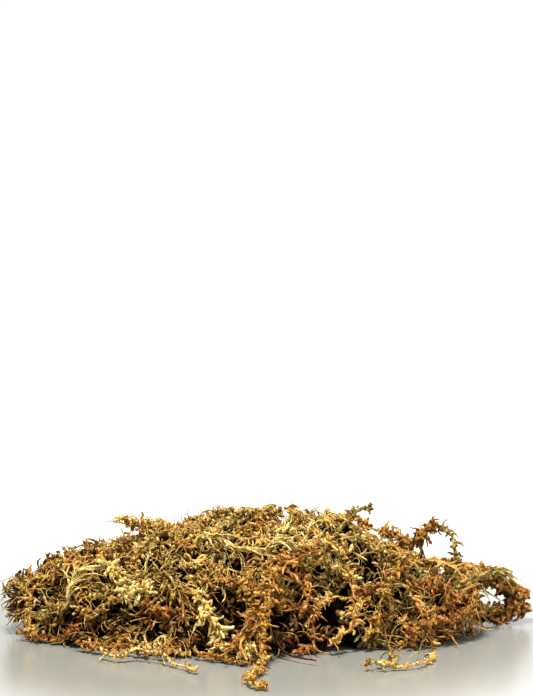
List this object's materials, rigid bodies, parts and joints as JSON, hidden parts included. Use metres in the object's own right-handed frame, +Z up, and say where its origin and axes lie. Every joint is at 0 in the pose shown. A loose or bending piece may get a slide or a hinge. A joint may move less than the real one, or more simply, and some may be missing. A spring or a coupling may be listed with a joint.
{
  "type": "sphagnum moss clump",
  "caption": "Loose clump of dried sphagnum moss: leafy stems and branches tangled over a matted middle, as a growing medium that holds water and lets air through.",
  "frame": {"origin": "middle of the flat resting spot on the underside", "axes": "+X along the longest side, -Y towards the front, +Z up"},
  "size_m": [0.312, 0.2366, 0.0767],
  "materials": {
    "umber": "matte",
    "rust": "matte",
    "orange": "matte",
    "gold": "matte",
    "straw": "matte",
    "olive": "matte",
    "cream": "matte",
    "bark": "matte"
  },
  "bodies": {
    "root": {"fan_front_straw": "straw", "loop_left_olive": "olive", "loop_right_orange": "orange", "loop_right_rust": "rust", "moss_mat": "umber", "sprig_arch_olive": "olive", "sprig_floor_cream": "cream", "sprig_floor_straw": "straw", "sprig_top_olive": "olive", "stem_01_straw": "straw", "stem_02_gold": "gold", "stem_03_olive": "olive", "stem_04_orange": "orange", "stem_05_orange": "orange", "stem_06_rust": "rust", "stem_07_straw": "straw", "stem_08_rust": "rust", "stem_09_straw": "straw", "stem_10_straw": "straw", "stem_11_straw": "straw", "stem_12_rust": "rust", "stem_13_straw": "straw", "stem_14_rust": "rust", "stem_15_gold": "gold", "stem_16_rust": "rust", "stem_17_straw": "straw", "stem_18_straw": "straw", "stem_19_straw": "straw", "stem_20_gold": "gold", "stem_21_gold": "gold", "stem_22_rust": "rust", "stem_23_straw": "straw", "stem_24_rust": "rust", "stem_25_orange": "orange", "stem_26_rust": "rust", "stem_arc_pale": "cream", "stem_corner_orange": "orange", "stem_fold_gold": "gold", "stem_front_bits": "orange", "stem_front_cream": "cream", "stem_front_rust": "rust", "stem_lean_straw": "straw", "stem_left_brown": "rust", "stem_left_pale": "straw", "stem_limbs_orange": "orange", "stem_low_rust": "rust", "stem_right_olive": "olive", "stem_slope_straw": "straw", "stem_trail_gold": "gold", "tuft_front_cream": "cream", "tuft_left_cream": "cream", "twig_dark": "bark"}
  },
  "joints": []
}
